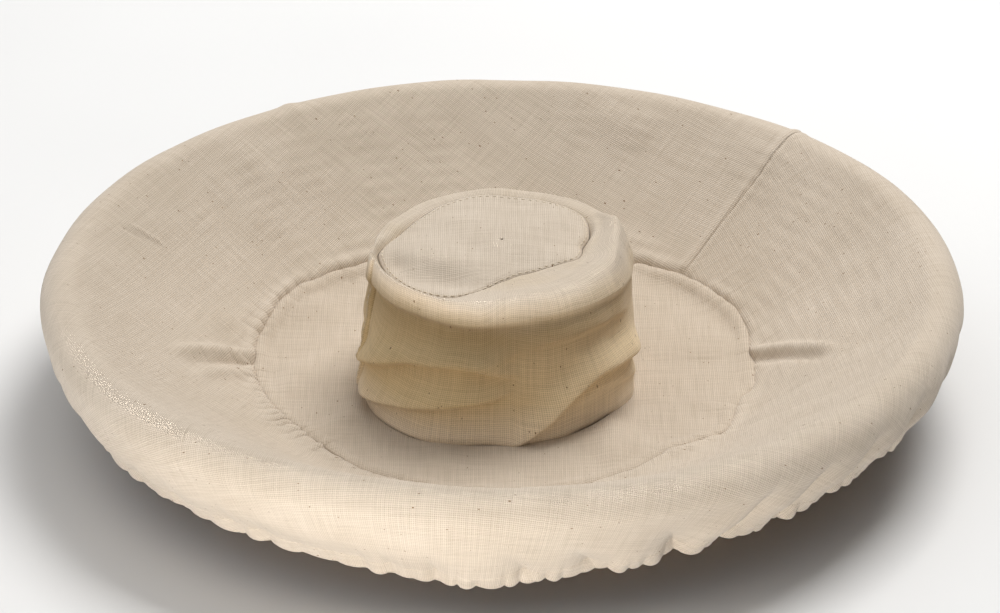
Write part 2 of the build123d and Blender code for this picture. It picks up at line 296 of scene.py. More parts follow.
def linen(name, tone, light_and_shade_paint=None):
    """Natural plain weave: two sets of uneven threads, over and under, with slubs and dark flecks.
    The optional last argument holds the heights and the tint of painted light and shade, laid on the sleeve's
    colour."""
    n = Nodes(name)
    cut = n.add("ShaderNodeUVMap", uv_map="cut").outputs[0]
    place = n.add("ShaderNodeTexCoord").outputs["Object"]
    wander = n.noise(cut, 55.0, 3.0)
    split = n.add("ShaderNodeSeparateXYZ")
    n.link(cut, split.inputs[0])
    drift = n.math("MULTIPLY", n.math("SUBTRACT", wander, 0.5), 1.2)
    across = n.math("ADD", n.math("DIVIDE", split.outputs[0], THREAD_PITCH), drift)
    along = n.math("ADD", n.math("DIVIDE", split.outputs[1], THREAD_PITCH), drift)

    def thread_height(main, other, flip):
        body = n.math("ABSOLUTE", n.math("SINE", n.math("MULTIPLY", main, pi)))
        parity = n.math("MULTIPLY", n.math("FLOOR", main), pi)
        swing = n.math("SINE", n.math("ADD", n.math("MULTIPLY", other, pi), parity))
        lift = n.math("MULTIPLY_ADD", swing, flip * 0.5, 0.5)
        return n.math("MULTIPLY", n.math("POWER", body, 0.6), n.math("MULTIPLY_ADD", lift, 0.75, 0.25))

    warp = thread_height(across, along, 1.0)
    weft = thread_height(along, across, -1.0)
    slub_warp = n.noise(n.stretch(cut, 1 / THREAD_PITCH * 0.9, 38.0), 1.0, 1.0)
    slub_weft = n.noise(n.stretch(cut, 38.0, 1 / THREAD_PITCH * 0.9), 1.0, 1.0)
    warp = n.math("MULTIPLY", warp, n.math("MULTIPLY_ADD", slub_warp, 1.1, 0.45))
    weft = n.math("MULTIPLY", weft, n.math("MULTIPLY_ADD", slub_weft, 1.1, 0.45))
    weave = n.math("MAXIMUM", warp, weft)

    light, mid, dark = tone
    cloth = n.ramp(weave, (0.10, dark), (0.55, mid), (1.0, light))
    streak = n.math("ADD", n.math("MULTIPLY", slub_warp, 0.5), n.math("MULTIPLY", slub_weft, 0.5))
    cloth = n.times(cloth, n.ramp(streak, (0.3, (0.945, 0.94, 0.93)), (0.7, (1.035, 1.035, 1.04))))
    patches = n.noise(place, 26.0, 4.0, 0.6)
    cloth = n.times(cloth, n.ramp(patches, (0.3, (0.955, 0.945, 0.93)), (0.7, (1.03, 1.03, 1.035))))
    # Painted light and shade on the sleeve's colour, by height.
    if light_and_shade_paint:
        cloth = n.times(cloth, painted_light_by_height(n, place, patches, *light_and_shade_paint))
    specks = n.noise(n.stretch(cut, 900.0, 420.0), 1.0, 0.0)
    cloth = n.mix(n.ramp(specks, (0.826, BLACK), (0.845, WHITE)), cloth, (0.20, 0.12, 0.06))
    n.link(cloth, n.shader.inputs["Base Color"])
    n.link(n.math("MULTIPLY_ADD", weave, -0.12, 0.93), n.shader.inputs["Roughness"])
    n.shader.inputs["Specular IOR Level"].default_value = 0.18
    n.shader.inputs["Sheen Weight"].default_value = 0.22
    n.shader.inputs["Sheen Roughness"].default_value = 0.55
    fuzz = n.noise(n.stretch(cut, 2600.0, 2600.0), 1.0, 2.0)
    n.bump(n.math("MULTIPLY_ADD", fuzz, 0.25, weave), 0.75, 0.28 * MM)
    return n.material


def willow(name, tones):
    """Peeled willow: long fibres along the rod, each rod its own tint, and darker knots."""
    n = Nodes(name)
    place = n.add("ShaderNodeTexCoord").outputs["Object"]
    along = n.add("ShaderNodeUVMap", uv_map="cut").outputs[0]
    tint = n.add("ShaderNodeAttribute", attribute_name="rod_tint").outputs["Fac"]
    fibre = n.noise(n.stretch(along, 60.0, 2400.0), 1.0, 3.0, 0.6)
    blotch = n.noise(place, 45.0, 4.0, 0.6)
    light, mid, dark = tones
    wood = n.ramp(n.math("ADD", n.math("MULTIPLY", tint, 0.55), n.math("MULTIPLY", blotch, 0.45)),
                  (0.15, dark), (0.5, mid), (0.85, light))
    wood = n.times(wood, n.ramp(fibre, (0.3, (0.80, 0.77, 0.73)), (0.65, (1.05, 1.05, 1.05))))
    knots = n.noise(n.stretch(along, 22.0, 160.0), 1.0, 1.0)
    wood = n.mix(n.ramp(knots, (0.74, BLACK), (0.80, (0.7, 0.7, 0.7))), wood, (0.16, 0.085, 0.035))
    n.link(wood, n.shader.inputs["Base Color"])
    n.link(n.math("MULTIPLY_ADD", fibre, 0.25, 0.42), n.shader.inputs["Roughness"])
    n.bump(n.math("MULTIPLY_ADD", knots, 0.6, fibre), 0.5, 0.2 * MM)
    return n.material


def willow_round(name, tones):
    """The same willow on rods that have no lengthwise map, such as the straight stakes."""
    n = Nodes(name)
    place = n.add("ShaderNodeTexCoord").outputs["Object"]
    fibre = n.noise(place, 900.0, 3.0, 0.6)
    blotch = n.noise(place, 45.0, 4.0, 0.6)
    light, mid, dark = tones
    wood = n.ramp(blotch, (0.3, dark), (0.5, mid), (0.7, light))
    wood = n.times(wood, n.ramp(fibre, (0.3, (0.82, 0.79, 0.75)), (0.65, (1.04, 1.04, 1.04))))
    n.link(wood, n.shader.inputs["Base Color"])
    n.link(n.math("MULTIPLY_ADD", fibre, 0.25, 0.42), n.shader.inputs["Roughness"])
    n.bump(fibre, 0.45, 0.15 * MM)
    return n.material


def spun(name, tones, pitch):
    """Twisted thread or braided elastic: fine slanting ridges."""
    n = Nodes(name)
    place = n.add("ShaderNodeTexCoord").outputs["Object"]
    ply = n.add("ShaderNodeTexWave", wave_type="BANDS", bands_direction="DIAGONAL")
    ply.inputs["Scale"].default_value = 1 / pitch / 3
    ply.inputs["Distortion"].default_value = 1.5
    n.link(place, ply.inputs["Vector"])
    fuzz = n.noise(place, 1800.0, 2.0)
    shade = n.math("MULTIPLY", n.math("ADD", ply.outputs["Fac"], fuzz), 0.5)
    n.link(n.ramp(shade, (0.2, tones[0]), (0.8, tones[1])), n.shader.inputs["Base Color"])
    n.link(n.math("MULTIPLY_ADD", fuzz, 0.2, 0.7), n.shader.inputs["Roughness"])
    n.bump(ply.outputs["Fac"], 0.6, 0.12 * MM)
    return n.material


linen_cloth = linen("natural_linen", ((0.65, 0.565, 0.465), (0.555, 0.47, 0.375), (0.31, 0.24, 0.17)))
# The sleeve's linen carries painted light and shade: a paler painted highlight at the foot, a warm painted
# bounce tint, and painted shade under the lip.
sleeve_linen_painted_light = linen("natural_linen_sleeve_painted_light", ((0.68, 0.59, 0.48), (0.57, 0.48, 0.38), (0.27, 0.205, 0.14)),
                     light_and_shade_paint=(0.027, 0.068, 0.084, (1.10, 1.00, 0.71)))
# The well floor's linen is toned darker and warmer than the wall's: painted shade for the low floor between the
# walls.
floor_linen_painted_shade = linen("natural_linen_floor_painted_shade", ((0.61, 0.52, 0.42), (0.52, 0.435, 0.34), (0.29, 0.22, 0.155)))
weave_willow = willow("peeled_willow_weave", ((0.62, 0.43, 0.22), (0.47, 0.29, 0.125), (0.30, 0.165, 0.065)))
stake_willow = willow_round("peeled_willow_stake",
                            ((0.58, 0.39, 0.20), (0.45, 0.28, 0.13), (0.31, 0.18, 0.075)))
split_cane = willow_round("split_cane", ((0.70, 0.54, 0.31), (0.60, 0.43, 0.22), (0.44, 0.29, 0.13)))
cotton_thread = spun("cotton_thread", ((0.55, 0.46, 0.34), (0.80, 0.71, 0.57)), 0.5 * MM)
elastic_braid = spun("elastic_braid", ((0.62, 0.60, 0.56), (0.86, 0.84, 0.80)), 0.8 * MM)

# ---------------------------------------------------------------- the line of the cloth
TURNS = 1260
SEAM_LINE = SIDE_SEAM - 1.8                     # where the seam has settled on the wall


def spaced_azimuths(count, fine_places, width, crowding):
    """Azimuths from 0 to 360, closer together near the fine places."""
    even = np.linspace(0, 360, 7201)
    density = 1 + sum(crowding * bell(turn_between(even, place), 0, width) for place in fine_places)
    grown = np.concatenate([[0], np.cumsum((density[1:] + density[:-1]) / 2)])
    return np.interp(np.linspace(0, grown[-1], count + 1), grown, even)


azimuth_cut = spaced_azimuths(TURNS, (SEAM_LINE, 2, 178), 2.2, 4)
azimuth = azimuth_cut[:-1]
theta = np.radians(azimuth)[:, None]
deg = azimuth[:, None]


def ring(knots, unit=1.0):
    """The closed curve through (azimuth, value) knots, at every azimuth of the cloth."""
    return round_the_ring(azimuth, knots)[:, None] * unit


WALL_ROWS, ROLL_ROWS, SKIRT_ROWS, CASING_ROWS = 48, 20, 30, 9
CASING = 8 * MM                                 # depth of the hem casing
CORNER = 9 * MM                                 # how softly the cloth turns up at the foot of the wall


def cloth_line():
    """Distance, radius, height and outward normal along the cloth's face: from the well floor (below 0)
    up the slope, over the rim, and down the skirt."""
    reach = np.linspace(-70 * MM, SLOPE_LENGTH, 500)
    tilt = SLOPE * smooth(-CORNER, CORNER, reach)
    step = np.diff(reach)
    middle = (tilt[1:] + tilt[:-1]) / 2
    radius = np.concatenate([[0], np.cumsum(np.cos(middle) * step)])
    height = np.concatenate([[0], np.cumsum(np.sin(middle) * step)])
    radius += ROLL_CENTRE[0] - ROLL * sin(SLOPE) - radius[-1]
    height += ROLL_CENTRE[1] + ROLL * cos(SLOPE) - height[-1]
    hem = (HEM_RADIUS, HEM)
    span = hypot(ROLL_CENTRE[0] - hem[0], ROLL_CENTRE[1] - hem[1])
    lean = atan2(ROLL_CENTRE[1] - hem[1], ROLL_CENTRE[0] - hem[0]) - asin(ROLL / span) - pi / 2
    turn = np.linspace(pi / 2 + SLOPE, lean, 60)[1:]
    over = SLOPE_LENGTH + ROLL * (pi / 2 + SLOPE - turn)
    radius = np.concatenate([radius, ROLL_CENTRE[0] + ROLL * np.cos(turn)])
    height = np.concatenate([height, ROLL_CENTRE[1] + ROLL * np.sin(turn)])
    end = hypot(hem[0] - radius[-1], hem[1] - height[-1])
    distance = np.concatenate([reach, over, [over[-1] + end]])
    normal_angle = np.concatenate([pi / 2 + tilt, turn, [lean]])
    return distance, np.append(radius, hem[0]), np.append(height, hem[1]), normal_angle, over[-1]


line_distance, line_radius, line_height, line_angle, SKIRT_START = cloth_line()
HEM_DISTANCE = line_distance[-1]

# The base seam is sewn by hand and eye: it wanders in and out round the well.
seam_radius = ring([
    (10, 113), (30, 118.5), (43, 118.5), (61, 115.5), (76, 110), (90, 107), (105, 110), (122, 117),
    (144, 118.5), (161, 114), (181, 110), (196, 105), (204, 103), (210, 101), (217, 99.5), (235, 102),
    (260, 104), (285, 103), (303, 101.5), (313, 99.5), (322, 102.5), (333, 109), (347, 107), (354, 111.5),
], MM) + ripples(around(1, theta, 0 * theta), 0.16, 3) * 0.5 * MM
seam_distance = np.where(seam_radius < SEAM, seam_radius - SEAM, (seam_radius - SEAM) / cos(SLOPE))

# Lower edge of the hem, round the basket.
hem_edge = ring([
    (0, 33), (45, 29), (90, 28), (135, 27), (180, 28), (195, 25.5), (203, 24), (215, 23.6), (237, 24.5),
    (243, 24.2), (250, 23), (257, 21), (263, 20), (270, 20.8), (275, 22), (280, 24), (291, 26.8), (300, 28.3),
    (313, 29.8), (332, 31.5), (348, 33.5),
], MM)


# ---------------------------------------------------------------- gathers
def fold_train(seed, pitch_at, uneven=0.6):
    """Gathers round the ring: the phase grows by one for every fold, at the local pitch in mm."""
    rng = np.random.default_rng(seed)
    pitch = round_the_ring(azimuth_cut, pitch_at)
    step = (HEM_RADIUS / MM) * np.radians(np.diff(azimuth_cut)) / pitch[:-1]
    phase = np.concatenate([[0], np.cumsum(step)])
    whole = round(phase[-1])
    phase *= whole / phase[-1]
    shift = rng.uniform(-0.42, 0.42, whole)
    skew = rng.uniform(0.7, 1.45, whole)
    size = 1 - uneven * rng.uniform(0, 1, whole)
    return phase[:-1], whole, shift, skew, size


def gathers_at(valleys, seed):
    """Gathers between valleys at known azimuths, each with the size of the puff after it; the rest of the
    ring, where the valleys stop, is filled with uneven ones."""
    rng = np.random.default_rng(seed)
    places = [list(valley) for valley in valleys]
    at = places[-1][0] + 8
    while at < places[0][0] + 360 - 5:
        places.append([at, rng.uniform(0.45, 1.0)])
        at += rng.uniform(5.0, 10.5)
    start = np.array([place[0] for place in places]) % 360
    order = np.argsort(start)
    start = start[order]
    size = np.array([place[1] for place in places])[order]
    return start, size


def gathered(train, slant, round_power=2.0):
    """Rounded puffs between the valleys of gathers_at; the slant is how far they lean, in degrees."""
    start, size = train
    whole = len(start)
    edges = np.concatenate([start[-1:] - 360, start, start[:1] + 360])
    where = (deg - slant) % 360
    cell = np.searchsorted(edges, where, side="right") - 1
    part = (where - edges[cell]) / (edges[cell + 1] - edges[cell])
    return size[(cell - 1) % whole] * (1 - np.abs(2 * part - 1) ** round_power)


def puffs(train, slant=0.0, round_power=2.4):
    """Rounded puffs with a sharp valley between neighbours, 0 in the valleys and up to 1 on top."""
    phase, whole, shift, skew, size = train
    p = (phase[:, None] + slant) % whole
    cell = np.floor(p).astype(int) % whole
    part = p - np.floor(p)
    start, end = shift[cell] * 0.5, shift[(cell + 1) % whole] * 0.5
    before = part < start
    after = part > 1 + end
    cell = np.where(before, cell - 1, np.where(after, cell + 1, cell)) % whole
    part = np.where(before, part + 1, np.where(after, part - 1, part))
    start, end = shift[cell] * 0.5, shift[(cell + 1) % whole] * 0.5
    part = np.clip((part - start) / (1 + end - start), 0, 1) ** skew[cell]
    return size[cell] * (1 - np.abs(2 * part - 1) ** round_power)


def at_least(value, low, soft=0.15 * MM):
    """Keeps the value above low, with a soft bend, so that the cloth stays off the wicker."""
    return low + soft * np.logaddexp(0, (value - low) / soft)


broad_folds = gathers_at([
    (205, 0.5), (219.7, 0.4), (225.2, 0.5), (235, 0.35), (239, 0.5), (252.6, 0.45), (256.5, 0.5),
    (262.5, 0.9), (274, 0.7), (281.5, 0.95), (291.8, 1.0), (297.8, 0.9), (306, 0.85), (314.8, 0.8),
    (324.5, 0.8), (334, 0.7)], 11)
fine_folds = fold_train(23, [
    (0, 8), (90, 9), (180, 12), (225, 15), (245, 14), (258, 9.5), (275, 8.5), (300, 8), (335, 9)], 0.8)
seam_puckers = fold_train(37, [(0, 16), (90, 16), (160, 11), (200, 9), (225, 13), (300, 18)], 0.9)


def tuck(distance, radius, at, spread, start, end, depth, bend=0.0):
    """A crease up the wall at an azimuth, from start to end in mm along it; depth below 0 sinks."""
    off = turn_between(deg, at + bend * (distance / MM - start)) * np.radians(1) * radius / MM
    body = smooth(start - 3, start + 3, distance / MM) * (1 - smooth(end - 14, end, distance / MM))
    return depth * MM * np.exp(-(off / spread) ** 2) * body


def panel_surface(distance, proud=0.0):
    """Points of the side panel at distances along the cloth's line, one row of them for each azimuth."""
    radius = np.interp(distance, line_distance, line_radius)
    height = np.interp(distance, line_distance, line_height)
    angle = np.interp(distance, line_distance, line_angle)
    nominal = around(radius, theta, height)
    wall_share = 1 - smooth(SLOPE_LENGTH - 12 * MM, SLOPE_LENGTH + 4 * MM, distance)
    from_seam = distance - seam_distance

    wall = ripples(nominal, 75 * MM, 5) * 0.9 * MM + ripples(nominal, 26 * MM, 6) * 0.28 * MM
    wall += 0.2 * MM * np.cos(TAU * distance / (7.4 * MM)) * np.cos(np.radians(deg * 16))
    puckering = ring([
        (0, 0.8), (60, 0.6), (120, 0.8), (165, 1.6), (200, 2.0), (230, 1.2), (290, 0.8), (325, 1.2)])
    wall += puffs(seam_puckers) * puckering * MM * np.exp(-from_seam / (8 * MM))
    welt_size = ring([(0, 0.3), (45, 0.4), (100, 0.7), (150, 0.9), (205, 0.8), (260, 0.4), (320, 0.8)])
    wall += welt_size * MM * bell(from_seam, 3.0 * MM, 2.4 * MM)
    for crease in ((172.5, 4.4, 0, 46, 2.6, 0.38), (181, 4.8, 0, 38, 1.8, 0.40), (176.6, 2.2, 0, 40, -2.0, 0.40),
                   (9.5, 3.8, 0, 50, 2.2, -0.42), (5.4, 3.2, 0, 44, -1.5, -0.42),
                   (161, 0.9, 62, 86, -1.2, 0.1), (159.4, 1.1, 62, 86, 1.0, 0.1)):
        wall += tuck(distance, radius, *crease)
    wall = at_least(wall, -0.35 * MM)
    wall -= 1.1 * MM * np.exp(-from_seam / (1.3 * MM))

    # The side seam: turnings make a low welt on one side of a fine crease.
    off = turn_between(deg, SEAM_LINE + 0.35 * np.sin(distance / (17 * MM))) * np.radians(1) * radius / MM
    welt = 0.9 * bell(off, 2.0, 2.2) + 0.5 * bell(off, -1.8, 2.0) - 2.0 * np.exp(-np.abs(off) / 0.42)
    seams = welt * MM * smooth(0, 5 * MM, from_seam)
    seams = seams + 0.9 * MM * bell(deg, 121, 1.2) * bell(distance, SLOPE_LENGTH + 9 * MM, 12 * MM)

    # The skirt: belly, wide gathers that slant, and small puckers drawn in by the elastic.
    skirt_share = smooth(SKIRT_START - 8 * MM, HEM_DISTANCE, distance)
    hang = np.clip((distance - SKIRT_START + 6 * MM) / (HEM_DISTANCE - SKIRT_START + 6 * MM), 0, 1)
    belly = ring([(0, 1), (90, 1), (180, 2), (225, 3), (262, 2.5), (300, 1)])
    slant = ring([
        (0, 7), (60, -3), (120, 3), (180, 3), (225, -2), (255, -1.5), (272, -6), (288, -4), (300, 6), (335, 8)])
    size = ring([
        (0, 6.0), (90, 4.6), (180, 4.2), (225, 3.4), (250, 3.2), (270, 6.2), (285, 6.8), (306, 7.4), (345, 7.0)])
    fine_size = ring([
        (0, 1.2), (90, 1.1), (180, 1.0), (225, 0.9), (250, 1.2), (272, 1.7), (310, 1.4), (340, 1.1)])
    begins = ring([
        (0, 0.0), (90, 0.1), (180, 0.2), (225, 0.2), (255, 0.35), (272, 0.38), (290, 0.28), (303, 0.0),
        (335, -0.1)])
    wide = gathered(broad_folds, slant * (1 - hang))
    narrow = puffs(fine_folds, 0.02 * slant * (1 - hang))
    drawn = smooth(begins, begins + 0.55, hang) * (1 - 0.45 * smooth(0.82, 1.0, hang))
    skirt = belly * MM * np.sin(pi * hang) ** 2
    skirt = skirt + (wide - 0.45) * size * MM * drawn
    skirt = skirt + (narrow - 0.4) * fine_size * MM * smooth(0.62, 1.0, hang)
    rolled = ripples(nominal, 60 * MM, 8) * 0.5 * MM * (1 - wall_share)
    lift = wall * wall_share + seams + rolled * (1 - hang) + skirt + proud

    scallops = (0.8 * wide + 1.3 * narrow - 1.0) * 1.2 * MM * smooth(0.7, 1.0, hang)
    drop = (HEM - hem_edge) * skirt_share ** 1.2 + scallops
    radius = radius + lift * np.cos(angle)
    height = height + lift * np.sin(angle) - drop
    return around(radius, theta, height)


def cone_cut(distance):
    """The same places on the flat cloth: the cone unrolled, so threads cross the wall at changing angles."""
    reach = SEAM / cos(SLOPE) + distance
    reach = np.concatenate([reach, reach[:1]])
    opened = np.radians(turn_between(azimuth_cut, SEAM_LINE) % 360)[:, None] * cos(SLOPE)
    opened[-1] = opened[-2] + np.radians(azimuth_cut[-1] - azimuth_cut[-2]) * cos(SLOPE)
    return np.stack([reach * np.cos(opened), reach * np.sin(opened)], -1)


# ---------------------------------------------------------------- side panel: wall, rim and skirt
up_wall = np.linspace(0, 1, WALL_ROWS)[None, :] ** 1.25
wall_rows = seam_distance + (SLOPE_LENGTH - seam_distance) * up_wall
roll_rows = np.repeat(np.linspace(SLOPE_LENGTH, SKIRT_START, ROLL_ROWS + 1)[None, 1:], TURNS, 0)
skirt_end = HEM_DISTANCE - CASING + 0.8 * MM
skirt_rows = np.repeat(np.linspace(SKIRT_START, skirt_end, SKIRT_ROWS + 1)[None, 1:], TURNS, 0)
panel_rows = np.concatenate([wall_rows, roll_rows, skirt_rows], 1)
panel_points = panel_surface(panel_rows)
side_panel = cloth_piece("side_panel", panel_points, cone_cut(panel_rows), CLOTH, linen_cloth, "linen",
                         "liner_wall", "liner_skirt")

# ---------------------------------------------------------------- hem: casing and the elastic in it
hem_rows = np.repeat(np.linspace(HEM_DISTANCE - CASING, HEM_DISTANCE, CASING_ROWS)[None, :], TURNS, 0)
tucked = 0.5 * MM * smooth(HEM_DISTANCE - CASING, HEM_DISTANCE - CASING + 1.5 * MM, hem_rows)
outer_leaf = panel_surface(hem_rows, 0.15 * MM + tucked)
inner_leaf = panel_surface(hem_rows[:, ::-1], -3.0 * MM)
turn_under = (outer_leaf[:, -1:] + inner_leaf[:, :1]) / 2 - np.array([0, 0, 1.1 * MM])
hem_points = np.concatenate([outer_leaf, turn_under, inner_leaf], 1)
back_of_hem = 2 * HEM_DISTANCE + 3.2 * MM - hem_rows[:, ::-1]
hem_distance = np.concatenate([hem_rows, hem_rows[:, -1:] + 1.6 * MM, back_of_hem], 1)
hem_casing = cloth_piece("hem_fold", hem_points, cone_cut(hem_distance), 0.7 * MM, linen_cloth, "linen",
                         "hem_casing")

band_rows = np.repeat(np.linspace(HEM_DISTANCE - 6.4 * MM, HEM_DISTANCE - 1.4 * MM, 4)[None, :], TURNS, 0)
cloth_piece("hem_elastic_band", panel_surface(band_rows, -1.1 * MM), cone_cut(band_rows), 0.8 * MM,
            elastic_braid, "elastic", "hem_elastic")

# ---------------------------------------------------------------- the well floor
FLOOR_ROWS = 46
core_flare = ring([
    (0, 0), (60, 0.2), (120, 0.6), (180, 3.0), (198, 5.0), (216, 8.0), (234, 9.5), (250, 7.0), (264, 4.5),
    (282, 3.2), (305, 1.6), (330, 0.4)], MM)


def build_well_floor():
    share = np.linspace(0, 1, FLOOR_ROWS)[None, :]
    inner = FOOT + 0.4 * MM + core_flare
    outer = seam_distance
    distance = (inner - SEAM) + (outer - (inner - SEAM)) * share
    radius = np.interp(distance, line_distance, line_radius)
    height = np.interp(distance, line_distance, line_height)
    angle = np.interp(distance, line_distance, line_angle)
    from_seam = outer - distance
    from_foot = distance - (inner - SEAM)
    nominal = around(radius, theta, height)
    middle = smooth(0, 14 * MM, from_seam) * smooth(0, 8 * MM, from_foot)
    lift = ripples(nominal, 44 * MM, 31) * 1.3 * MM * middle + ripples(nominal, 18 * MM, 32) * 0.3 * MM
    lift += puffs(seam_puckers) * 0.9 * MM * np.exp(-from_seam / (6 * MM))
    lift += 0.7 * MM * bell(from_seam, 3.4 * MM, 2.6 * MM)
    ridge = turn_between(deg, 318 - from_foot / MM * 0.5)
    lift += 1.6 * MM * bell(ridge, 0, 6) * middle
    ridge = turn_between(deg, 205 + from_foot / MM * 0.4)
    lift += 1.4 * MM * bell(ridge, 0, 7) * middle
    lift = at_least(lift, -0.3 * MM)
    lift -= 1.0 * MM * np.exp(-from_seam / (0.9 * MM)) + 0.9 * MM * np.exp(-from_foot / (2.0 * MM))
    radius = radius + lift * np.cos(angle)
    height = height + lift * np.sin(angle)
    points = around(radius, theta, height)
    cut = nominal[:, :, :2]
    return points, np.concatenate([cut, cut[:1]])


floor_points, floor_cut = build_well_floor()
floor_cloth = cloth_piece("well_floor_cloth", floor_points, floor_cut, CLOTH, floor_linen_painted_shade, "linen",
                          "liner_floor")

# ---------------------------------------------------------------- the core's cloth
# One shape, parted at the cap seam: up the side, over the shoulder, and in to the middle of the top.
CORE_TURNS = 720
core_azimuth = np.arange(CORE_TURNS) * 360 / CORE_TURNS
core_cut_azimuth = np.arange(CORE_TURNS + 1) * 360 / CORE_TURNS


CORNER_PULL = 4.2                               # how near the shoulder's curve comes to its corner


def core_ring(knots):
    return round_the_ring(core_azimuth, knots)[:, None] * MM


def fold_across(at_front, z, knots, height, width, steep, ends):
    """A fold across the sleeve. The knots are (angle right of the front, height in mm) along its crest;
    it falls away over the width above, and steeper below."""
    line = np.interp(at_front[:, 0], [k[0] for k in knots], [k[1] for k in knots])
    line = np.concatenate([line[-12:], line, line[:12]])
    line = np.convolve(line, np.ones(25) / 25, mode="valid")[:, None]
    fade = smooth(ends[0] - 12, ends[0] + 10, at_front) * (1 - smooth(ends[1] - 10, ends[1] + 12, at_front))
    above = z / MM - line
    shape = np.where(above > 0, np.exp(-(above / width) ** 2), np.exp(-(above * steep / width) ** 2))
    return height * MM * shape * fade


# Each fold: the knots of its crest, its height, its width, how much steeper it is below, and its ends.
SLEEVE_FOLDS = (
    ([(-90, 24), (-74, 31), (-42, 45), (-16, 50), (0, 46), (12, 42)], 5.0, 6.0, 3.4, (-78, 4)),
    ([(-90, 14), (-60, 20), (-42, 25), (-28, 29), (-3, 35), (10, 38)], 5.2, 6.5, 3.6, (-72, 0)),
    ([(0, 9), (11, 17), (26, 30), (42, 39), (67, 37), (90, 34)], 6.0, 8.0, 3.4, (8, 80)),
    ([(-16, 48), (0, 53), (20, 58), (45, 60), (70, 57)], 2.2, 6.5, 2.6, (-6, 66)),
    ([(20, 24), (49, 30), (66, 26), (90, 20)], 1.6, 4.0, 1.8, (36, 80)),
    ([(95, 30), (130, 36), (170, 30)], 1.8, 6.0, 2.0, (100, 165)),
    ([(-170, 40), (-130, 48), (-95, 36)], 1.8, 6.0, 2.0, (-165, -100)),
)


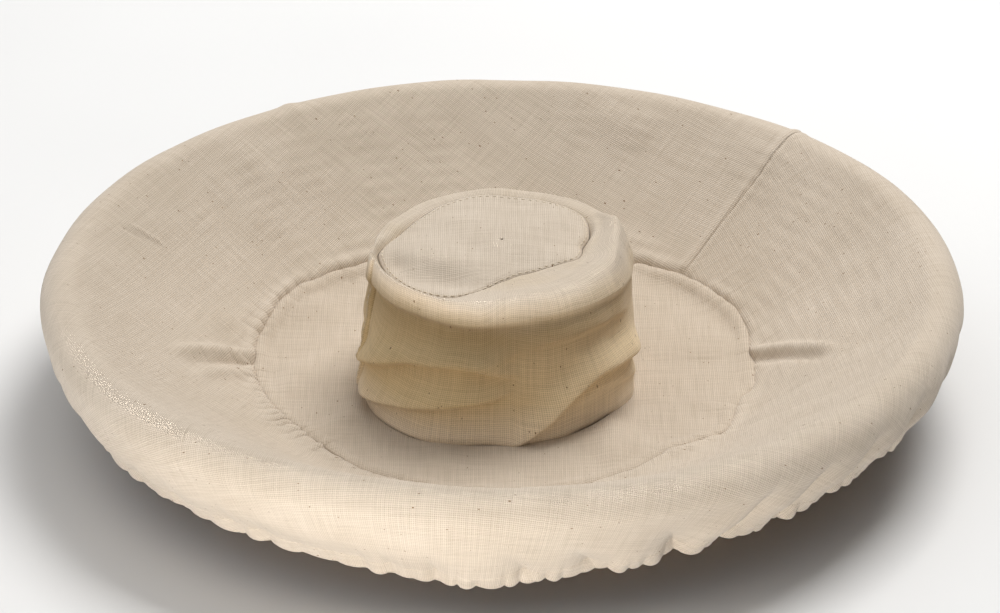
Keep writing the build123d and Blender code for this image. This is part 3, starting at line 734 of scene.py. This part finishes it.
def build_core():
    theta = np.radians(core_azimuth)[:, None]
    deg = core_azimuth[:, None]
    at_front = turn_between(deg, 270)
    flare = np.interp(deg, azimuth, core_flare[:, 0], period=360)

    rows = np.linspace(0, 1, 70)[None, :]
    bottom = WELL - 0.9 * MM
    side_top = core_ring([
        (0, 69), (60, 68), (110, 68), (150, 68), (180, 68), (205, 68), (232, 68.5), (250, 69), (275, 70),
        (310, 70.5), (340, 70)])
    z = bottom + (side_top - bottom) * rows
    fullness = core_ring([
        (0, 0.6), (60, 0.6), (120, 1.0), (160, 2.0), (185, 4.0), (205, 4.0), (230, 2.6), (270, 1.6), (310, 0.8)])
    rise = (z - WELL) / (SLEEVE_TOP - WELL)
    bulge = fullness * smooth(-0.15, 0.4, rise) * (1 - 0.75 * smooth(0.5, 0.95, rise))
    radius = FOOT + (CAP - FOOT) * rise + bulge
    radius = radius + flare * np.exp(-(np.maximum(z - WELL, 0) / (15 * MM)) ** 1.3)
    nominal = around(radius, theta, z)
    lift = ripples(nominal, 40 * MM, 51) * 1.0 * MM + ripples(nominal, 16 * MM, 52) * 0.3 * MM
    for fold in SLEEVE_FOLDS:
        lift += fold_across(at_front, z, *fold)
    lip = core_ring([
        (0, 1.4), (60, 0.4), (120, 0.3), (170, 1.2), (195, 2.6), (232, 3.4), (262, 3.0), (290, 1.8), (330, 1.6)])
    under = core_ring([
        (0, 67), (180, 66.5), (205, 67.5), (232, 68), (255, 68.5), (280, 70), (310, 71), (340, 69)])
    lift += lip * np.where(z > under, bell(z, under, 6.0 * MM), bell(z, under, 2.6 * MM))
    lift = at_least(lift, -0.4 * MM)

    # The sleeve's seam stands as a narrow strip at the left.
    off = turn_between(deg, SLEEVE_SEAM) * np.radians(1) * radius / MM
    strip = smooth(-3.2, -2.4, off) * (1 - smooth(1.8, 2.6, off))
    lift += (1.3 * strip - 1.0 * np.exp(-np.abs(off - 2.9) / 0.6)) * MM
    lift += 0.4 * MM * strip * np.sin(z / (2.8 * MM))
    lift -= 1.0 * MM * np.exp(-(z - bottom) / (1.8 * MM))
    radius = radius + lift

    # Shoulder: a rounded turn from the side's end to the cap seam, which lies well in from the edge
    # at the front right, and right out on the lip at the front left.
    seam_reach = core_ring([
        (0, 35), (20, 41), (42, 46), (57, 46.5), (80, 45.5), (102, 48), (126, 46), (140, 44.5), (152, 45),
        (167, 48), (177, 51.5), (187, 54.5), (205, 54), (233, 53.4), (244, 51), (255, 41), (270, 31),
        (288, 26.5), (307, 27), (327, 30), (345, 35)])
    seam_level = core_ring([
        (0, 75.0), (20, 75.4), (42, 77), (57, 77), (80, 77.6), (102, 77.6), (126, 77.6), (140, 77.2),
        (152, 76.6), (167, 75.2), (177, 75.2), (187, 74.8), (205, 74.4), (233, 74.4), (244, 74.8), (255, 75.2),
        (270, 75.4), (288, 75.6), (307, 76), (327, 76.4), (345, 76)])
    crest = core_ring([
        (0, 2.6), (14, 3.2), (26, 2.0), (42, 0.6), (110, 0.3), (177, 0.6), (205, 1.0), (233, 1.2), (262, 1.2),
        (285, 1.0), (320, 1.2), (345, 2.2)])
    crease = core_ring([
        (0, 1.4), (8, 2.2), (20, 2.2), (30, 0.9), (60, 0.3), (110, 0.3), (150, 0.7), (177, 1.1), (215, 1.1),
        (248, 1.0), (266, 0.5), (300, 0.4), (340, 0.6)])
    # The corner that the shoulder turns about: how far in it is from the side's end, and how high.
    inset = core_ring([
        (0, 4.5), (42, 2.5), (110, 2.2), (170, 2.2), (205, 1.0), (240, 1.0), (258, 1.5), (275, 2.2), (300, 3.2),
        (330, 4)])
    corner_level = core_ring([
        (0, 81), (14, 81.5), (26, 79.5), (42, 78.2), (110, 78.2), (150, 77.8), (177, 77.6), (205, 77), (233, 77),
        (250, 77.4), (262, 77.8), (285, 78.4), (320, 78.8), (345, 80.6)])
    t = (0.5 - 0.5 * np.cos(np.linspace(0, pi, 44)))[None, 1:]
    r0, z0 = radius[:, -1:], z[:, -1:]
    start, turn, end = (1 - t) ** 2, 2 * CORNER_PULL * t * (1 - t), t ** 2
    total = start + turn + end
    shoulder_radius = (start * r0 + turn * (r0 - inset) + end * seam_reach) / total
    shoulder_level = (start * z0 + turn * corner_level + end * seam_level) / total
    shoulder_level = shoulder_level + crest * np.sin(pi * t ** 1.7) ** 1.5
    inward = np.hypot(seam_reach - shoulder_radius, seam_level - shoulder_level)
    shoulder_level = shoulder_level + 0.5 * crease * bell(inward, 2.6 * MM, 2.0 * MM)
    shoulder_level = shoulder_level - crease * np.exp(-inward / (1.1 * MM))
    wrinkles = around(shoulder_radius, theta, shoulder_level)
    shoulder_level = shoulder_level + ripples(wrinkles, 22 * MM, 53) * 0.45 * MM * np.sin(pi * t)
    sleeve_radius = np.concatenate([radius, shoulder_radius], 1)
    sleeve_height = np.concatenate([z, shoulder_level], 1)
    sleeve_points = around(sleeve_radius, theta, sleeve_height)

    rows = np.linspace(1, 0.015, 52)[None, :]
    cap_radius = seam_reach * rows
    x, y = cap_radius * np.cos(theta), cap_radius * np.sin(theta)
    inward = (1 - rows) * seam_reach
    dome = CORE_TOP + 1.2 * MM - 0.00096 / MM * (x ** 2 + y ** 2)
    quick = core_ring([(0, 10), (90, 10), (150, 8), (180, 4.5), (245, 4.5), (270, 7), (300, 10)])
    level = seam_level + (dome - seam_level) * (1 - np.exp(-(inward / quick)))
    nominal = np.stack([x, y, level], -1)
    rumple = ripples(nominal, 38 * MM, 61) * 0.8 * MM + ripples(nominal, 15 * MM, 62) * 0.18 * MM
    level = level + rumple * smooth(0, 9 * MM, inward)
    level = level - crease * np.exp(-inward / (1.1 * MM)) + 0.3 * crease * bell(inward, 3.0 * MM, 2.0 * MM)
    pocket = bell(x, -26 * MM, 17 * MM) * bell(y + 0.25 * x, -36 * MM, 9 * MM)
    dimple = bell(x, -46 * MM, 4 * MM) * bell(y, -15 * MM, 6 * MM)
    level = level - 4.2 * MM * pocket - 2.2 * MM * dimple
    cap_points = np.stack([x, y, level], -1)

    opened = np.radians(turn_between(core_cut_azimuth, SLEEVE_SEAM) % 360)[:, None]
    opened[-1] = opened[-2] + np.radians(360 / CORE_TURNS)
    run = np.concatenate([np.zeros((CORE_TURNS, 1)), np.cumsum(np.hypot(
        np.diff(sleeve_radius, axis=1), np.diff(sleeve_height, axis=1)), axis=1)], 1)
    run = np.concatenate([run, run[:1]])
    sleeve_cut = np.stack([np.repeat(opened * FOOT, run.shape[1], 1), run], -1)
    cap_cut = np.stack([x, y], -1)
    cap_cut = np.concatenate([cap_cut, cap_cut[:1]])
    return sleeve_points, sleeve_cut, cap_points, cap_cut


sleeve_points, sleeve_cut, cap_points, cap_cut = build_core()
sleeve_cloth = cloth_piece("core_sleeve_cloth", sleeve_points, sleeve_cut, CLOTH, sleeve_linen_painted_light, "linen",
                           "core_sleeve")
cap_cloth = cloth_piece("core_cap_cloth", cap_points, cap_cut, CLOTH, linen_cloth, "linen", "core_cap")

# ---------------------------------------------------------------- rods, and the stitches
def unit(vectors):
    return vectors / np.maximum(np.linalg.norm(vectors, axis=-1, keepdims=True), 1e-9)


def rods(name, paths, beside, radius, sides=7, closed=True, tint_seed=1, taper=None):
    """Round rods along paths (rods x points x 3). Beside points off each path, such as outwards, and
    sets the rods' roundness upright to it. Each rod gets its own tint."""
    paths = np.asarray(paths, float)
    count, length = paths.shape[:2]
    if closed:
        tangent = unit(np.roll(paths, -1, 1) - np.roll(paths, 1, 1))
    else:
        tangent = unit(np.gradient(paths, axis=1))
    first = unit(np.cross(tangent, beside))
    second = np.cross(first, tangent)
    turn = np.arange(sides) / sides * TAU
    rim = first[:, :, None] * np.cos(turn)[:, None] + second[:, :, None] * np.sin(turn)[:, None]
    thick = radius if taper is None else radius * np.asarray(taper)[None, :, None, None]
    vertices = (paths[:, :, None] + rim * thick).reshape(-1, 3)
    spans = length if closed else length - 1
    rod, at, side = np.meshgrid(np.arange(count), np.arange(spans), np.arange(sides), indexing="ij")
    ahead, over = (at + 1) % length, (side + 1) % sides
    base = rod * length * sides
    faces = np.stack([base + at * sides + side, base + at * sides + over,
                      base + ahead * sides + over, base + ahead * sides + side], -1).reshape(-1, 4)
    run = np.concatenate([[0], np.cumsum(np.linalg.norm(np.diff(paths[0], axis=0), axis=1))])
    run = np.append(run, run[-1] + (run[-1] - run[-2]))
    lane = rod * 0.037
    uv = np.stack([
        np.stack([run[at] + lane, side * radius * TAU / sides + lane], -1),
        np.stack([run[at] + lane, (side + 1) * radius * TAU / sides + lane], -1),
        np.stack([run[at + 1] + lane, (side + 1) * radius * TAU / sides + lane], -1),
        np.stack([run[at + 1] + lane, side * radius * TAU / sides + lane], -1)], -2).reshape(-1, 2)
    obj = new_object(name, vertices, faces, uv)
    tint = np.random.default_rng(tint_seed).uniform(0, 1, count)
    shade = obj.data.attributes.new("rod_tint", "FLOAT", "POINT")
    shade.data.foreach_set("value", np.repeat(tint, length * sides).astype(np.float32))
    return obj


def stitch_row(name, line, off_cloth, closed, pitch=3.2 * MM, length=2.3 * MM, thread=0.26 * MM):
    """A row of stitches along a line on the cloth, each one rising out of it and going back in."""
    line = np.asarray(line, float)
    ends = np.concatenate([line, line[:1]]) if closed else line
    run = np.concatenate([[0], np.cumsum(np.linalg.norm(np.diff(ends, axis=0), axis=1))])
    starts = np.arange(0, run[-1] - length, pitch)
    part = np.linspace(0, 1, 6)
    where = starts[:, None] + part[None, :] * length
    path = np.stack([np.interp(where, run, ends[:, k]) for k in range(3)], -1)
    off = np.concatenate([off_cloth, off_cloth[:1]]) if closed else off_cloth
    up = unit(np.stack([np.interp(where, run, off[:, k]) for k in range(3)], -1))
    path = path + up * ((0.26 * np.sin(pi * part) - 0.14) * MM)[None, :, None]
    return rods(name, path, up, thread, sides=6, closed=False, taper=0.55 + 0.45 * np.sin(pi * part))


def outward_of(points):
    """Unit directions off a grid of turns x rows x 3, on the side the cloth shows."""
    around = np.roll(points, -1, 0) - np.roll(points, 1, 0)
    along = np.gradient(points, axis=1)
    return unit(np.cross(along, around))


def column_at(angles, angle):
    return int(np.argmin(np.abs(turn_between(angles, angle))))


def facing(off, along_it):
    """The directions, turned over where they point away from the side that shows."""
    return off if along_it >= 0 else -off


panel_off = outward_of(panel_points)
panel_off = facing(panel_off, panel_off[0, 5, 2])
off_sleeve = outward_of(sleeve_points)
off_sleeve = facing(off_sleeve, off_sleeve[0, 20, :2] @ sleeve_points[0, 20, :2])
off_cap = outward_of(cap_points)
off_cap = facing(off_cap, off_cap[0, 10, 2])
off_floor = outward_of(floor_points)
off_floor = facing(off_floor, off_floor[0, 10, 2])
off_hem = outward_of(outer_leaf)
off_hem = facing(off_hem, off_hem[0, 1, :2] @ outer_leaf[0, 1, :2])

OVER_THE_RIM = WALL_ROWS + ROLL_ROWS // 2
up_side = (column_at(azimuth, SEAM_LINE), slice(3, OVER_THE_RIM))
down_skirt = (up_side[0], slice(OVER_THE_RIM, WALL_ROWS + ROLL_ROWS + SKIRT_ROWS - 1))
up_sleeve = (column_at(core_azimuth, SLEEVE_SEAM + 0.6), slice(4, 66))


def row_round(number):
    return slice(None), number


for seam, points, off, where, closed in (
        ("side_seam", panel_points, panel_off, up_side, False),
        ("skirt_seam", panel_points, panel_off, down_skirt, False),
        ("base_seam", panel_points, panel_off, row_round(4), True),
        ("foot_seam", floor_points, off_floor, row_round(2), True),
        ("sleeve_seam", sleeve_points, off_sleeve, up_sleeve, False),
        ("cap_seam", cap_points, off_cap, row_round(2), True)):
    stitches = stitch_row(seam + "_stitches", points[where], off[where], closed)
    finish_piece(stitches, "liner", cotton_thread, "sewing_thread", seam + "_thread")
hem_stitches = stitch_row("hem_stitches", outer_leaf[:, 1], off_hem[:, 1], True)
finish_piece(hem_stitches, "liner", cotton_thread, "sewing_thread")

# ---------------------------------------------------------------- wicker
ROD = 1.35 * MM
ROD_PITCH = 2.5 * MM
STAKES = 32
STAKE_TURN = TAU / STAKES / 2                   # the first stake's angle
CORE_STAKES = 12
BASE_ARMS = 16
side_low, side_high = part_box("side_weave")
top_low, top_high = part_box("top_wale")
base_low, base_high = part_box("base_weave")
core_low, core_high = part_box("core_weave")
core_rim_low, core_rim_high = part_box("core_border")
lid_low, lid_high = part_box("core_lid_weave")
WEAVE = 8.4 * MM                                # thickness of the wicker wall
WICKER_DEPTH = 1.6 * MM                         # the cloth's face to the wicker


def slope_place(along, depth, turn):
    """Points on the cone of the wall: distance up it, depth under the cloth's face, and angle."""
    radius = SEAM + along * cos(SLOPE) + depth * sin(SLOPE)
    height = WELL + along * sin(SLOPE) - depth * cos(SLOPE)
    return around(radius, turn, height + 0 * turn)


def slope_off(turn):
    return around(-sin(SLOPE), turn, cos(SLOPE) + 0 * turn)


def along_slope(box_corner_height, depth):
    return (box_corner_height - WELL + depth * cos(SLOPE)) / sin(SLOPE)


def wicker_rods(name, paths, offs, radius, seed, node, sides=7):
    """Woven rods of the basket, in place of their CAD node."""
    obj = rods(name, paths, offs, radius, sides, tint_seed=seed)
    finish_piece(obj, "basket", weave_willow, "willow_weave", node)


# Side weaving: single rods in front of one stake and behind the next, each row the other way.
weave_start = along_slope(side_low.z, WICKER_DEPTH + WEAVE) + ROD + 0.2 * MM
weave_end = along_slope(side_high.z, WICKER_DEPTH) - ROD - 0.2 * MM
row_count = int((weave_end - weave_start) / ROD_PITCH) + 1
turn = np.linspace(0, TAU, STAKES * 10, endpoint=False)[None, :]
row = np.arange(row_count)[:, None]
along = weave_start + (weave_end - weave_start) * row / (row_count - 1)
along = along + np.random.default_rng(71).uniform(-0.12 * MM, 0.12 * MM, (row_count, 1))
swing = np.cos(STAKES / 2 * (turn - STAKE_TURN) + row * pi)
depth = WICKER_DEPTH + WEAVE / 2 - swing * (WEAVE / 2 - ROD - 0.05 * MM)
along = along + 0.25 * MM * np.cos(turn * 5 + row * 1.7)
wicker_rods("side_weave_rods", slope_place(along, depth, turn), slope_off(turn + 0 * row), ROD, 72, "side_weave")


def wale(name, start, end, rounds, thick, node, seed, deeper=0.0):
    """Rounds of four-rod wale: each rod passes outside three stakes and inside the fourth."""
    strands = 4
    turn = np.linspace(0, TAU, STAKES * 14, endpoint=False)[None, :]
    paths, offs = [], []
    half = (end - start) / rounds / 2
    for level in range(rounds):
        middle = start + half * (2 * level + 1)
        for strand in range(strands):
            travel = ((turn - STAKE_TURN) * STAKES / TAU / strands - strand / strands + level * 0.5) % 1
            inside = np.exp(-(np.minimum(travel, 1 - travel) / 0.13) ** 2)
            across = (WEAVE / 2 - thick * 0.85) * (1 - 2 * inside) + deeper
            climb = np.where(travel > 0.88, (1 - travel) / 0.12, (travel - 0.5) / 0.38)
            climb = np.where(travel < 0.12, -travel / 0.12, climb)
            up = middle + climb * (half - thick * 0.8)
            paths.append(slope_place(up, WICKER_DEPTH + WEAVE / 2 + across, turn)[0])
            offs.append(slope_off(turn)[0])
    wicker_rods(name, np.array(paths), np.array(offs), thick, seed, node, sides=8)


top_start = along_slope(top_low.z, WICKER_DEPTH + WEAVE)
top_end = along_slope(top_high.z, WICKER_DEPTH)
wale("top_wale_rods", top_start + 0.6 * MM, top_end, 2, 1.55 * MM, "top_wale", 81)
wale("foot_wale_rods", -5.6 * MM, 7.8 * MM, 3, 1.6 * MM, "foot_wale", 82, 1.0 * MM)

# Border: the stakes' ends laid down and plaited round, like a thick slanting rope.
def rope_ring(name, centre, across, strands, thick, twists, node, seed, points):
    turn = np.linspace(0, TAU, points, endpoint=False)
    paths, offs = [], []
    for strand in range(strands):
        angle = turn * twists + strand / strands * TAU
        wobble = 1 + 0.05 * np.sin(turn * 11 + strand * 2.1)
        radius = centre[0] + across * wobble * np.cos(angle)
        height = centre[1] + across * wobble * np.sin(angle)
        paths.append(around(radius, turn, height))
        offs.append(around(np.cos(angle), turn, np.sin(angle)))
    paths.append(around(centre[0], turn, centre[1] + 0 * turn))
    offs.append(around(0, turn, 1 + 0 * turn))
    wicker_rods(name, np.array(paths), np.array(offs), thick, seed, node, sides=9)


rope_ring("rim_border_plait", ROLL_CENTRE, BORDER - 2.75 * MM, 6, 2.7 * MM, 22, "rim_border", 83, 1200)

# Base: rounds woven over and under the sixteen arms of the crossed sticks.
def rounds_on_arms(name, radii, level, lift, arms, node, seed, points):
    turn = np.linspace(0, TAU, points, endpoint=False)[None, :]
    place = np.arange(len(radii))[:, None]
    height = level + lift * np.cos(arms / 2 * (turn - TAU / arms / 2) + place * pi)
    reach = np.asarray(radii)[:, None] + 0.1 * MM * np.sin(turn * 3 + place)
    offs = around(1 + 0 * place, turn, 0 * turn + 0 * place)
    wicker_rods(name, around(reach, turn, height), offs, ROD, seed, node)


base_middle = (base_low.z + base_high.z) / 2
base_radii = np.arange(13.6 * MM, base_high.x - ROD, ROD_PITCH)
rounds_on_arms("base_weave_rounds", base_radii, base_middle - 0.2 * MM, 2.6 * MM, BASE_ARMS,
               "base_weave", 84, 256)

# Core: an upright weave round twelve stakes, a plaited border, and a woven lid.
turn = np.linspace(0, TAU, CORE_STAKES * 12, endpoint=False)[None, :]
core_rows = int((core_high.z - core_low.z - 2 * ROD) / ROD_PITCH) + 1
row = np.arange(core_rows)[:, None]
height = core_low.z + ROD + (core_high.z - core_low.z - 2 * ROD) * row / (core_rows - 1)
core_wall = 8.2 * MM
lean = (FOOT - CAP) / (SLEEVE_TOP - WELL)
middle = core_high.x - core_wall / 2 - lean * (height - core_low.z)
swing = np.cos(CORE_STAKES / 2 * (turn - TAU / CORE_STAKES / 2) + row * pi)
reach = middle + (core_wall / 2 - ROD - 0.1 * MM) * swing
paths = around(reach, turn, height + 0 * turn)
offs = around(0 * reach, turn, 1 + 0 * reach)
wicker_rods("core_weave_rods", paths, offs, ROD, 85, "core_weave")

core_rim_round = (core_rim_high.z - core_rim_low.z) / 2
core_rim_centre = (core_rim_high.x - core_rim_round, core_rim_high.z - core_rim_round)
rope_ring("core_border_plait", core_rim_centre, core_rim_round - 1.7 * MM, 5, 1.65 * MM, 13,
          "core_border", 86, 520)

lid_middle = (lid_low.z + lid_high.z) / 2
lid_radii = np.arange(5 * MM, lid_high.x - ROD, ROD_PITCH)
rounds_on_arms("core_lid_rounds", lid_radii, lid_middle, 1.8 * MM, CORE_STAKES, "core_lid_weave", 87, 168)
spoke_turn = (np.arange(CORE_STAKES // 2) + 0.5) * TAU / CORE_STAKES
spoke_line = np.linspace(-1, 1, 9)[None, :, None] * (lid_high.x - 0.8 * MM)
spoke_way = around(1, spoke_turn, 0 * spoke_turn)[:, None, :]
spokes = spoke_way * spoke_line + np.array([0, 0, lid_middle])
spokes_off = np.broadcast_to(np.array([0.0, 0.0, 1.0]), spokes.shape)
lid_spokes = rods("core_lid_spokes", spokes, spokes_off, 1.1 * MM, closed=False, tint_seed=88)
finish_piece(lid_spokes, "basket", weave_willow, "willow_weave")

for name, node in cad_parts.items():
    if name.startswith(("base_stick", "stake_pair", "core_stake")):
        node.data.materials.clear()
        node.data.materials.append(stake_willow)
    elif name == "core_ties":
        node.data.materials.clear()
        node.data.materials.append(split_cane)

# ---------------------------------------------------------------- stage, light and camera
def area_light(name, place, target, size, power, colour, spread=180):
    data = bpy.data.lights.new(name, "AREA")
    data.shape = "RECTANGLE"
    data.size, data.size_y = size
    data.energy = power
    data.color = colour
    data.spread = radians(spread)
    light = bpy.data.objects.new(name, data)
    bpy.context.scene.collection.objects.link(light)
    light.location = place
    light.rotation_euler = (Vector(target) - Vector(place)).to_track_quat("-Z", "Y").to_euler()
    return light


def stage_floor():
    reach = 6.0
    corners = [(-reach, -reach, 0), (reach, -reach, 0), (reach, reach, 0), (-reach, reach, 0)]
    floor = new_object("stage_floor", corners, [(0, 1, 2, 3)], shade=False)
    n = Nodes("pale_floor")
    place = n.add("ShaderNodeTexCoord").outputs["Object"]
    pale = n.ramp(n.noise(place, 3.0), (0.4, (0.73, 0.73, 0.73)), (0.6, (0.75, 0.75, 0.75)))
    n.link(pale, n.shader.inputs["Base Color"])
    n.shader.inputs["Roughness"].default_value = 0.9
    n.shader.inputs["Specular IOR Level"].default_value = 0.1
    floor.data.materials.append(n.material)


stage_floor()
area_light("soft_overhead", (0.60, 0.84, 1.96), (0, 0, 0.03), (1.15, 1.05), 44.5, (1.0, 0.99, 0.97))
area_light("low_front_left", (-0.25, -0.90, 0.036), (-0.06, -0.19, 0.036), (0.36, 0.05), 0.43, (1.0, 0.98, 0.95),
           spread=40)


def studio_air():
    """Soft white light from above and all round, weaker low down and from the front right."""
    world = bpy.data.worlds.new("studio_air")
    bpy.context.scene.world = world
    world.use_nodes = True
    tree = world.node_tree
    direction = tree.nodes.new("ShaderNodeTexCoord")

    def along(way, near, far, weak, strong):
        part = tree.nodes.new("ShaderNodeVectorMath")
        part.operation = "DOT_PRODUCT"
        part.inputs[1].default_value = way
        tree.links.new(direction.outputs["Generated"], part.inputs[0])
        ramp = tree.nodes.new("ShaderNodeMapRange")
        ramp.interpolation_type = "SMOOTHSTEP"
        for name, value in (("From Min", near), ("From Max", far), ("To Min", weak), ("To Max", strong)):
            ramp.inputs[name].default_value = value
        tree.links.new(part.outputs["Value"], ramp.inputs["Value"])
        return ramp.outputs["Result"]

    product = tree.nodes.new("ShaderNodeMath")
    product.operation = "MULTIPLY"
    tree.links.new(along((0, 0, 1), 0.0, 0.75, 0.11, 0.78), product.inputs[0])
    tree.links.new(along((0.93, -0.34, -0.10), -0.15, 0.65, 1.0, 0.03), product.inputs[1])
    horizon = tree.nodes.new("ShaderNodeMath")
    horizon.operation = "MAXIMUM"
    tree.links.new(product.outputs[0], horizon.inputs[0])
    tree.links.new(along((0, 0, 1), 0.02, 0.06, 0.80, 0.0), horizon.inputs[1])
    background = tree.nodes["Background"]
    tree.links.new(horizon.outputs[0], background.inputs["Strength"])
    background.inputs["Color"].default_value = (1.0, 1.0, 1.0, 1.0)


studio_air()
bpy.context.scene.view_settings.view_transform = "Standard"

CAMERA_DISTANCE = 2.0
CAMERA_RISE = radians(28.19)
VIEW_WIDTH = 0.43802                            # what the frame takes in from side to side at the aim
SENSOR_WIDTH = 36                               # in millimetres, as Blender wants it
camera_data = bpy.data.cameras.new("camera")
camera = bpy.data.objects.new("camera", camera_data)
bpy.context.scene.collection.objects.link(camera)
aim = Vector((-0.0009, 0, 0.0465))
camera.location = aim + Vector((0, -cos(CAMERA_RISE), sin(CAMERA_RISE))) * CAMERA_DISTANCE
camera.rotation_euler = (aim - camera.location).to_track_quat("-Z", "Y").to_euler()
camera_data.sensor_width = SENSOR_WIDTH
camera_data.lens = SENSOR_WIDTH * CAMERA_DISTANCE / VIEW_WIDTH
bpy.context.scene.camera = camera
